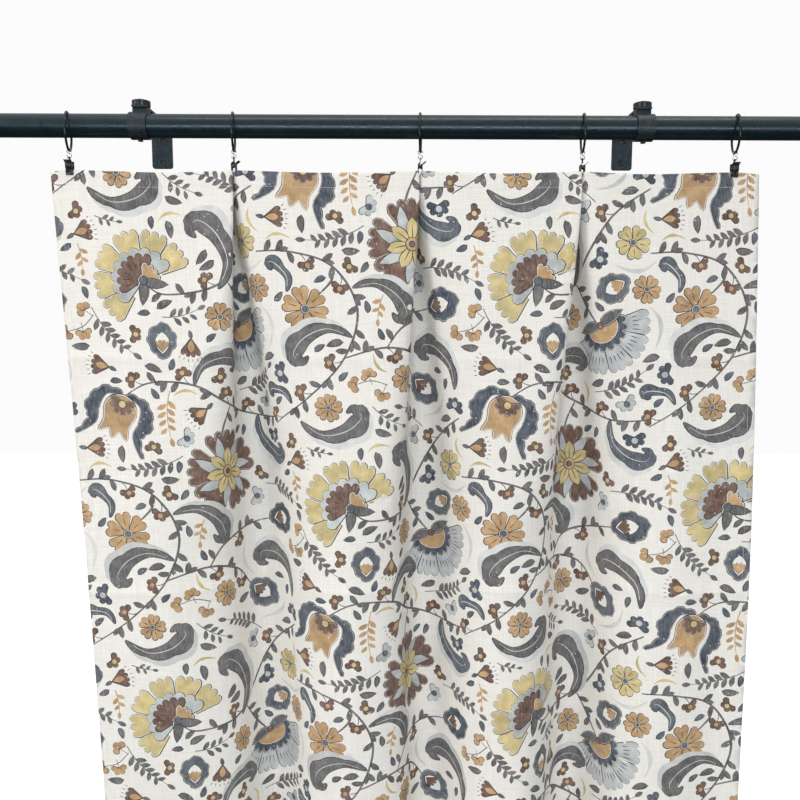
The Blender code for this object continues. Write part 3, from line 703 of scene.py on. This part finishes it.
def lay_out():
    """The artwork of one repeat: flowers at their places, leafy stems, and sprigs wherever there is room."""
    dice = random.Random(11)
    taken = np.zeros((int(repeat_width / 0.002) + 2, int(repeat_height / 0.002) + 2), bool)
    blooms, leaves, under = [], [], []
    for flower, at, angle, size, flip in flowers:
        blooms += turned(flower(), angle, size, at, flip)
    taken[cells(covered(blooms, 0.0015))] = True
    for stem in stems:
        reach = np.concatenate([[0], np.cumsum(np.abs(np.diff(stem)))])
        for number, along in enumerate(np.arange(0.012, reach[-1] - 0.010, 0.0165)):
            at, beyond = (np.interp(s, reach, stem.real) + 1j * np.interp(s, reach, stem.imag)
                          for s in (along, along + 0.004))
            kind, side = ("leaf", "pair", "leaf", "blossom")[number % 4], (-1, 1)[number // 2 % 2]
            grown = turned(twig(kind, side), math.degrees(np.angle(beyond - at)), at=at)
            spots = cells(covered(grown, 0.0008))
            if taken[spots].mean() < 0.06:
                taken[spots] = True
                leaves += grown
    lines = [(brush(line, 0.0020, 0.0016, 0.0036), "charcoal") for line in stems]
    taken[cells(covered(lines, 0.0012))] = True
    for make, wanted in extras:
        base = make()
        spots = covered(base, 0.0010)
        for attempt in range(700):
            if wanted == 0:
                break
            place = complex(dice.uniform(0, repeat_width), dice.uniform(0, repeat_height))
            angle, flip = dice.uniform(0, 360), dice.random() < 0.5
            at = cells((np.conj(spots) if flip else spots) * np.exp(1j * math.radians(angle)) + place)
            if not taken[at].any():
                taken[at] = True
                under += turned(base, angle, 1.0, place, flip)
                wanted -= 1
    return under + lines + leaves + blooms


panel_low, panel_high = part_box("curtain_panel")
cloth_width, cloth_length = 1.219, panel_high.z - panel_low.z
cloth_top, cloth_thickness = panel_high.z, 0.0009
hung_width, hung_left = 0.992, ring_places[0] - 0.027
clip_front = -0.00645

# How the cloth hangs. Along its width, the way it heads in plan turns from straight across to straight
# back at a pleat's left lip, doubles round at the fold and comes straight again at the right lip.
# Lower down each turn is wider, and the walls lean until the row is as wide as it hangs.
drops = np.concatenate([np.arange(0, 0.02, 0.0025), np.arange(0.02, 0.3, 0.01),
                        np.arange(0.3, cloth_length, 0.02), [cloth_length]])
spans = np.linspace(0, cloth_width, 2439)
span_step = spans[1] - spans[0]
pleat_places = ring_places[1:-1]
take_up = (cloth_width - hung_width) / len(pleat_places)
pleat_spans = [x - hung_left + take_up * (k + 0.5) for k, x in enumerate(pleat_places)]


def opened(drop, start, depth, power):
    """How far open a fold is, from 0 at the start to 1 once it has hung free for that depth."""
    return np.clip((drop - start) / depth, 0, 1) ** power


def step_at(place, width):
    """A soft step from 0 to 1 along the cloth, one for each row."""
    return 0.5 + 0.5 * np.tanh((spans[None] - place) / width[:, None])


def rows_in_plan(wall):
    """Each row's x and y at every span along the cloth, from the way its path turns.

    The walls' lean is corrected until each row is as wide as it hangs and ends in line. In the first
    rounds the top row's walls and pleats are moved too, so that the pleats meet their clips."""
    round_length, rounds, attempts = 12, 3, 150
    placing, lip_length = round_length * rounds, 0.007
    target = hung_width * (1 - 0.025 * np.tanh(drops ** 2 / 0.85))
    spread = wall + 0.056 * opened(drops, 0.03, 0.50, 1.1)
    characters = ((1.0, 1.0), (0.8, 1.15), (1.15, 0.9))
    lean_back, lean_front = np.full(len(drops), math.pi / 2), np.full(len(drops), math.pi / 2)
    for attempt in range(attempts):
        if attempt % round_length == 0 and attempt <= placing:
            going, coming = 0, 0
            for middle, (left, right) in zip(pleat_spans, characters):
                lip = 0.0012 + 0.044 * left * opened(drops, 0.05, 0.50, 1.2)
                fold = 0.0018 + 0.046 * opened(drops, 0.02, 0.50, 1.0)
                shoulder = 0.0016 + 0.050 * right * opened(drops, 0.004, 0.40, 0.6)
                back = step_at(middle, fold)
                going = going + step_at(middle - spread[:, None], lip) - back
                coming = coming + back - step_at(middle + spread[:, None], shoulder)
        heading = lean_back[:, None] * going - lean_front[:, None] * coming
        x = np.cumsum(np.cos(heading), 1) * span_step
        y = np.cumsum(np.sin(heading), 1) * span_step
        wide = x[:, -1] - x[:, 0] - target
        if attempt % round_length == round_length - 1 and attempt < placing:
            wall += wide[0] / (2 * len(pleat_places))
            spread += wide[0] / (2 * len(pleat_places))
            for k, place in enumerate(pleat_places):
                both_walls = pleat_spans[k] + np.array((lip_length - wall, wall - lip_length))
                pleat_spans[k] += place - hung_left - np.interp(both_walls, spans, x[0] - x[0, 0]).mean()
        lean_back = np.clip(lean_back + 2.0 * (wide - y[:, -1]), 0.2, 2.95)
        lean_front = np.clip(lean_front + 2.0 * (wide + y[:, -1]), 0.2, 2.95)
        if attempt < placing:
            lean_back[:3] = lean_front[:3] = math.pi / 2
    return x - x[:, :1], y, target, wall


row_x, row_y, row_width, pleat_wall = rows_in_plan(take_up / 2 + 0.0014)


# Creases left by the packing, across the cloth: how far down each lies, and how deep it is.
press_creases = ((0.262, 0.0009), (0.610, 0.0012), (0.958, 0.0012), (1.306, 0.0012))
crease_width = 0.007
end_sag, middle_sag = 0.0022, 0.0034


def cloth_at(span, drop, out=0.0):
    """Points of the hung cloth, from how far along and down it they lie; out is towards the printed side."""
    row = np.interp(drop, drops, np.arange(len(drops)))
    above, column = np.minimum(row.astype(int), len(drops) - 2), span / span_step
    left = np.clip(column.astype(int), 0, len(spans) - 2)
    down, along = row - above, column - left

    def read(table):
        upper = table[above, left] * (1 - along) + table[above, left + 1] * along
        lower = table[above + 1, left] * (1 - along) + table[above + 1, left + 1] * along
        return upper * (1 - down) + lower * down

    x, y = read(row_x), read(row_y)
    ahead_x = (row_x[above, left + 1] - row_x[above, left]) * (1 - down)
    ahead_x += (row_x[above + 1, left + 1] - row_x[above + 1, left]) * down
    ahead_y = (row_y[above, left + 1] - row_y[above, left]) * (1 - down)
    ahead_y += (row_y[above + 1, left + 1] - row_y[above + 1, left]) * down
    size = np.hypot(ahead_x, ahead_y)
    width = np.interp(drop, drops, row_width)
    sway = 0.035 * np.tanh(drop / 0.8)
    x = hung_left + hung_width / 2 + x - width / 2 + sway
    first_clip = ring_places[0] - hung_left
    last_clip = cloth_width - (hung_left + hung_width - ring_places[-1])
    rise = np.minimum((span - first_clip) / (pleat_spans[0] - 0.05 - first_clip),
                      (last_clip - span) / (last_clip - pleat_spans[-1] - 0.05))
    y = rod_y + y + clip_front * np.clip(rise, 0, 1)
    ripple = 0.0026 * np.sin(span * 31 + 2.2 * drop + 1) + 0.0018 * np.sin(span * 57 - 3.1 * drop)
    ripple += 0.0020 * np.sin(span * 17 + 5.3 * drop + 0.4)
    y += ripple * np.clip((drop - 0.05) / 0.5, 0, 1)
    for crease, depth in press_creases:
        y -= depth * np.exp(-((drop - crease) / crease_width) ** 2)
    held = [0.0, first_clip, *pleat_spans, last_clip, cloth_width]
    sag = np.zeros_like(x)
    for start, end in zip(held, held[1:]):
        share = np.clip((span - start) / (end - start), 0, 1)
        if start == 0.0 or end == cloth_width:
            free = 1 - share if start == 0.0 else share
            sag += end_sag * free ** 1.5 * ((span >= start) & (span < end + 1e-9))
        else:
            sag += middle_sag * np.sin(math.pi * share) ** 2 * ((span >= start) & (span < end))
    z = cloth_top - drop - sag * np.exp(-drop / 0.35) * (1 - drop / cloth_length)
    return np.stack([x + out * ahead_y / size, y - out * ahead_x / size, z], -1)


# The face of the cloth: the artwork's outlines and a grid that follows the folds, made into triangles
# in the flat. Each triangle takes the ink of the last shape that was printed over it.
linen_inks = {
    "ground": (0.860, 0.840, 0.790), "line": (0.034, 0.030, 0.036), "charcoal": (0.112, 0.108, 0.114),
    "slate": (0.080, 0.102, 0.135), "navy": (0.036, 0.056, 0.095), "umber": (0.150, 0.066, 0.040),
    "sand": (0.570, 0.345, 0.150), "straw": (0.690, 0.555, 0.240), "mist": (0.560, 0.595, 0.600),
    "ghost": (0.690, 0.700, 0.680)}
washed = {"ground": 0.0, "line": 0.25, "ghost": 0.6}
MM = 1000.0
fine_rows_end = 460  # mm down: above it the pleats are sharp, and every fold line is in the grid
square_side, squares_down = 24, 1000  # mm, and more than the squares in one column


def flat_points():
    """Lines and points of the grid in the flat, in mm, with the lines along the folds."""
    rows = [0.0, 2.5, 5.0, 8.0, 12.0, 18.0] + [15.0 * i for i in range(2, 32)]
    rows += list(np.arange(490.0, 1815.0, 25.0)) + [cloth_length * MM]
    for crease in (round(place * MM) for place, depth in press_creases):
        rows += [crease - 9, crease - 3.5, crease, crease + 3.5, crease + 9]
    rows = sorted(set(rows))
    columns = set(np.linspace(0, cloth_width * MM, 118).round(3))
    folds = []
    for middle in pleat_spans:
        columns |= {round(middle * MM + aside, 3) for aside in range(-80, 81, 5)}
        for place in (middle - pleat_wall, middle, middle + pleat_wall):
            for aside in (-7.5, -4.5, -2.2, -0.8, 0.8, 2.2, 4.5, 7.5):
                folds.append(place * MM + aside)
    columns = sorted(c for c in columns if min(abs(c - f) for f in folds) > 2.2)
    return rows, [c for c, after in zip(columns, [*columns[1:], 1e9]) if after - c > 2.2], folds


def triangles_of(points, edges):
    """Triangles over flat points, with every edge kept: (points, triangles)."""
    found = delaunay_2d_cdt([Vector((p.real, p.imag)) for p in points], edges, [], 0, 1e-3)
    return np.array([complex(*p) for p in found[0]]), np.array(found[2], int)


def chain(points, edges, line, closed=False):
    """Adds a line's points, and the edges from each to the next."""
    start = len(points)
    points.extend(line)
    edges.extend((start + i, start + i + 1) for i in range(len(line) - 1))
    if closed:
        edges.append((start + len(line) - 1, start))


def on_border(points):
    """Places along the border of the cloth, from its top left corner clockwise, or -1 inside."""
    width, length = cloth_width * MM, cloth_length * MM
    across, down, near = points.real, points.imag, 2e-3
    place = np.full(len(points), -1.0)
    place[across < near] = (2 * width + 2 * length - down)[across < near]
    place[down > length - near] = (2 * width + length - across)[down > length - near]
    place[across > width - near] = (width + down)[across > width - near]
    place[down < near] = across[down < near]
    return place


rows, columns, folds = flat_points()
border = np.array([0, cloth_width, cloth_width + 1j * cloth_length, 1j * cloth_length]) * MM
grid = [complex(c, r) for r in rows for c in columns]
points, edges = [], []
chain(points, edges, border, closed=True)
for fold in folds:
    chain(points, edges, [complex(fold, r) for r in rows if r < fine_rows_end])
for fold in folds[::2]:
    points.extend(complex(fold, r) for r in rows if r >= fine_rows_end)
points.extend(grid)

repeat = lay_out()
printed = []
for shape, ink in repeat:
    for column in range(-1, 5):
        for row in range(-3, 4):
            copy = (shape + column * repeat_width + 1j * (column / 2 + row) * repeat_height) * MM
            if (copy.real.max() > 0 and copy.real.min() < cloth_width * MM
                    and copy.imag.max() > 0 and copy.imag.min() < cloth_length * MM):
                printed.append((copy, ink))
for copy, ink in printed:
    chain(points, edges, copy, closed=True)
face_points, face_triangles = triangles_of(points, edges)
centres = face_points[face_triangles].mean(1)
kept = ((centres.real > 0) & (centres.real < cloth_width * MM)
        & (centres.imag > 0) & (centres.imag < cloth_length * MM))
face_triangles, centres = face_triangles[kept], centres[kept]

# Sort the triangles into squares, so that each shape is only tried on the ones near it.
dice = random.Random(5)
square = (centres.real // square_side).astype(int) * squares_down + (centres.imag // square_side).astype(int)
order = np.argsort(square, kind="stable")
sorted_squares = square[order]
colour = np.tile((*linen_inks["ground"], 0.0), (len(face_triangles), 1))
for copy, ink in printed:
    near = []
    first, last = int(max(copy.real.min(), 0) // square_side), int(copy.real.max() // square_side)
    for across in range(first, last + 1):
        start = across * squares_down + int(max(copy.imag.min(), 0) // square_side)
        stop = across * squares_down + int(copy.imag.max() // square_side) + 1
        near.append(order[np.searchsorted(sorted_squares, start):np.searchsorted(sorted_squares, stop)])
    near = np.concatenate(near)
    hit = near[within(centres[near], copy)]
    shade = dice.uniform(0.88, 1.12) if ink not in ("ground", "line") else 1.0
    colour[hit] = (*(shade * c for c in linen_inks[ink]), washed.get(ink, 1.0))

# The back of the cloth is the same sheet from behind: its own plain triangles on the same border.
face_place = on_border(face_points)
used = np.zeros(len(face_points), bool)
used[face_triangles] = True
rim = np.nonzero((face_place >= 0) & used)[0]
rim = rim[np.argsort(face_place[rim])]
points, edges = [], []
chain(points, edges, list(face_points[rim]), closed=True)
points.extend(complex(c, r) for r in rows[1:-1] for c in columns[1:-1])
for fold in folds:
    points.extend(complex(fold, r) for r in rows[1:-1] if r < fine_rows_end)
for fold in folds[::2]:
    points.extend(complex(fold, r) for r in rows[:-1] if r >= fine_rows_end)
back_points, back_triangles = triangles_of(points, edges)
centres = back_points[back_triangles].mean(1)
back_triangles = back_triangles[(centres.real > 0) & (centres.imag > 0)]

number_of = np.cumsum(used) - 1
face_index = number_of[face_triangles]
flat = np.concatenate([face_points[used], back_points]) / MM
back_start = int(used.sum())
half = np.where(np.arange(len(flat)) < back_start, 0.5, -0.5) * cloth_thickness
inside_cloth = np.clip(flat.real, 0, cloth_width), np.clip(flat.imag, 0, cloth_length)
corners = cloth_at(*inside_cloth, half)
rim_face = number_of[rim]
rim_back = back_start + np.arange(len(rim))
ahead_face, ahead_back = np.roll(rim_face, -1), np.roll(rim_back, -1)
rim_triangles = np.concatenate([np.stack([rim_face, rim_back, ahead_back], 1),
                                np.stack([rim_face, ahead_back, ahead_face], 1)])
triangles = np.concatenate([face_index, back_triangles[:, ::-1] + back_start, rim_triangles])

cloth_mesh = bpy.data.meshes.new("curtain")
cloth_mesh.vertices.add(len(corners))
cloth_mesh.vertices.foreach_set("co", corners.astype(np.float32).ravel())
cloth_mesh.loops.add(3 * len(triangles))
cloth_mesh.loops.foreach_set("vertex_index", triangles.astype(np.int32).ravel())
cloth_mesh.polygons.add(len(triangles))
cloth_mesh.polygons.foreach_set("loop_start", np.arange(0, 3 * len(triangles), 3, dtype=np.int32))
cloth_mesh.polygons.foreach_set("material_index",
                                (np.arange(len(triangles)) >= len(face_index)).astype(np.int32))
cloth_mesh.update(calc_edges=True)
cloth_mesh.validate()
flat_map = cloth_mesh.uv_layers.new(name="flat_cloth")
flat_map.data.foreach_set("uv", np.stack([flat.real, -flat.imag], 1)[triangles].astype(np.float32).ravel())
print_colour = cloth_mesh.color_attributes.new("print", "FLOAT_COLOR", "CORNER")
every = np.concatenate([colour, np.tile((*linen_inks["ground"], 0.0), (len(triangles) - len(colour), 1))])
print_colour.data.foreach_set("color", np.repeat(every, 3, 0).astype(np.float32).ravel())


def linen(name, printed_side):
    """Slubbed linen-look polyester: crossed yarns, slubs both ways, and the print's watery inks."""
    cloth = Paint(name, Roughness=0.90, Sheen_Weight=0.04, Sheen_Roughness=0.5, Specular_IOR_Level=0.15)
    slub_across = cloth.noise(1.0, 3, (26, 620, 1), "UV")
    slub_down = cloth.noise(1.0, 3, (620, 24, 1), "UV")
    slubs = cloth.node("Math", {"operation": "ADD"}, i0=cloth.ramp(slub_across, 0.36, 0.70, -0.5, 0.5),
                       i1=cloth.ramp(slub_down, 0.36, 0.70, -0.5, 0.5)).outputs[0]
    base = cloth.mix(cloth.ramp(slubs, -0.7, 0.7), (0.780, 0.755, 0.700, 1), (0.900, 0.885, 0.845, 1))
    cloudy = cloth.ramp(cloth.noise(3.0, 3, source="UV"), 0.35, 0.65)
    base = cloth.mix(cloth.ramp(cloudy, 0, 1, 0.0, 0.22), base, (0.880, 0.830, 0.790, 1))
    if printed_side:
        attribute = cloth.node("Attribute", {"attribute_name": "print"})
        ink, wash = attribute.outputs["Color"], attribute.outputs["Alpha"]
        pools = cloth.ramp(cloth.noise(55, 5, source="UV"), 0.34, 0.66)
        streaks = cloth.ramp(cloth.noise(1.0, 4, (420, 90, 1), "UV"), 0.42, 0.72)
        lighter = cloth.mix(0.07, ink, (0.86, 0.84, 0.80, 1))
        darker = cloth.node("Mix", {"data_type": "RGBA", "blend_type": "MULTIPLY"}, i0=1.0)
        cloth.feed(ink, darker.inputs[6])
        darker.inputs[7].default_value = (0.72, 0.72, 0.74, 1)
        watery = cloth.mix(pools, darker.outputs[2], lighter)
        watery = cloth.mix(cloth.ramp(streaks, 0, 1, 0.0, 0.13), watery, (0.80, 0.78, 0.74, 1))
        spots = cloth.node("TexVoronoi", i0=cloth.place((1, 1, 1), "UV"), Scale=150.0, Randomness=1.0)
        spot = cloth.ramp(spots.outputs["Distance"], 0.10, 0.16, 1.0, 0.0)
        some = cloth.ramp(cloth.noise(70, 1, source="UV"), 0.50, 0.56)
        speck = cloth.node("Math", {"operation": "MULTIPLY"}, i0=spot, i1=some).outputs[0]
        watery = cloth.mix(cloth.ramp(speck, 0, 1, 0.0, 0.85), watery, (0.84, 0.83, 0.80, 1))
        flat_ink = cloth.mix(wash, ink, watery)
        inked_area = cloth.node("Math", {"operation": "GREATER_THAN"}, i0=wash, i1=0.05).outputs[0]
        thin = cloth.node("Math", {"operation": "MULTIPLY"}, i0=inked_area,
                          i1=cloth.ramp(slubs, -0.7, 0.7, 0.965, 0.995)).outputs[0]
        cloth.feed(cloth.mix(thin, base, flat_ink), cloth.shader.inputs["Base Color"])
    else:
        cloth.feed(base, cloth.shader.inputs["Base Color"])
    weft = cloth.node("TexWave", {"bands_direction": "X"}, i0=cloth.place((1, 1, 1), "UV"), Scale=480.0,
                      Distortion=1.5, i3=2.0).outputs[1]
    warp = cloth.node("TexWave", {"bands_direction": "Y"}, i0=cloth.place((1, 1, 1), "UV"), Scale=480.0,
                      Distortion=1.5, i3=2.0).outputs[1]
    yarns = cloth.node("Math", {"operation": "ADD"}, i0=weft, i1=warp).outputs[0]
    relief = cloth.node("Math", {"operation": "MULTIPLY_ADD"}, i0=slubs, i1=1.2, i2=yarns).outputs[0]
    cloth.bump(relief, 0.00012, 0.55)
    return cloth.material


cloth_mesh.materials.append(linen("printed_linen_face", True))
cloth_mesh.materials.append(linen("plain_linen_back", False))
curtain = add_piece("curtain", cloth_mesh, None, "clip_1")
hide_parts("curtain_panel")


def gathers(piece):
    """Gives the piece a mesh of its own, not shared with any other piece."""
    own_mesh(piece)


# Hems: the side, top and bottom edges are turned to the back twice and sewn down with one row of
# lockstitch, which shows as short dashes on the face.
side_hem, end_hem, hem_thickness = 0.012, 0.022, 0.00035
hem_step, seam_inset, edge_inset, hem_gap = 0.004, 0.0015, 0.0004, 0.0001
hem_mesh = bpy.data.meshes.new("hems")
hem = bmesh.new()
seams = []
for start, end, inward, turn in ((0, 1, 1j, end_hem), (1, 1 + 1j, -1, side_hem), (1 + 1j, 1j, -1j, end_hem),
                                 (1j, 0, 1, side_hem)):
    start, end = (p.real * cloth_width + 1j * p.imag * cloth_length for p in (complex(start), complex(end)))
    count = int(abs(end - start) / hem_step)
    line = start + (end - start) * np.linspace(0, 1, count + 1)
    if turn == end_hem:
        fold_lines = np.array(folds) / MM
        line = np.sort_complex(np.concatenate([line, fold_lines + 1j * start.imag]))
    seams.append(line + inward * (turn - seam_inset))
    layers = []
    for inset, out in ((edge_inset, -0.5), (turn, -0.5), (turn, -1.5), (edge_inset, -1.5)):
        at = line + inward * inset
        depth = out * cloth_thickness - hem_gap - (hem_thickness - cloth_thickness) * (out < -1)
        span, drop = np.clip(at.real, 0, cloth_width), np.clip(at.imag, 0, cloth_length)
        layers.append([hem.verts.new(p) for p in cloth_at(span, drop, depth)])
    for i in range(len(line) - 1):
        for here, there in zip(layers, layers[1:] + layers[:1]):
            hem.faces.new((here[i], here[i + 1], there[i + 1], there[i]))
    hem.faces.new([layer[0] for layer in layers])
    hem.faces.new([layer[-1] for layer in layers][::-1])
bmesh.ops.recalc_face_normals(hem, faces=hem.faces)
hem.to_mesh(hem_mesh)
hem.free()
hems = add_piece("hems", hem_mesh, bpy.data.materials["plain_linen_back"], "clip_1",
                 smooth=False)

thread = Paint("hem_thread", Base_Color=(0.80, 0.77, 0.71, 1), Roughness=0.55, Sheen_Weight=0.3)
thread.bump(thread.noise(4000, 2), 0.00004)
stitch_length, stitch_gap, thread_half = 0.0026, 0.0009, 0.00022
seam_start, seam_end = 0.004, 0.006
sewing = bmesh.new()
for seam in seams:
    reach = np.concatenate([[0], np.cumsum(np.abs(np.diff(seam)))])
    for begin in np.arange(seam_start, reach[-1] - seam_end, stitch_length + stitch_gap):
        along_seam = (begin, begin + 0.5 * stitch_length, begin + stitch_length)
        ends = np.interp(along_seam, reach, seam.real) + 1j * np.interp(along_seam, reach, seam.imag)
        ahead = (ends[-1] - ends[0]) / abs(ends[-1] - ends[0])
        if abs(ends[-1] - ends[0]) < 0.8 * stitch_length:
            continue
        loops = []
        for at, rise in zip(ends, (-0.1, 0.9, -0.1)):
            ring_of = []
            for side, lift in ((-1, 0.0), (0, 1.0), (1, 0.0)):
                spot = at + 1j * ahead * side * thread_half
                out = 0.5 * cloth_thickness + thread_half * (rise * (0.4 + lift))
                point = cloth_at(np.array([np.clip(spot.real, 0, cloth_width)]),
                                 np.array([np.clip(spot.imag, 0, cloth_length)]), out)[0]
                ring_of.append(sewing.verts.new(point))
            loops.append(ring_of)
        for here, there in zip(loops, loops[1:]):
            for j in range(3):
                sewing.faces.new((here[j], here[(j + 1) % 3], there[(j + 1) % 3], there[j]))
        sewing.faces.new(loops[0][::-1])
        sewing.faces.new(loops[-1])
bmesh.ops.recalc_face_normals(sewing, faces=sewing.faces)
sewing_mesh = bpy.data.meshes.new("hem_stitches")
sewing.to_mesh(sewing_mesh)
sewing.free()
stitches = add_piece("hem_stitches", sewing_mesh, thread.material, "clip_1")
for piece in (curtain, hems, stitches):
    gathers(piece)
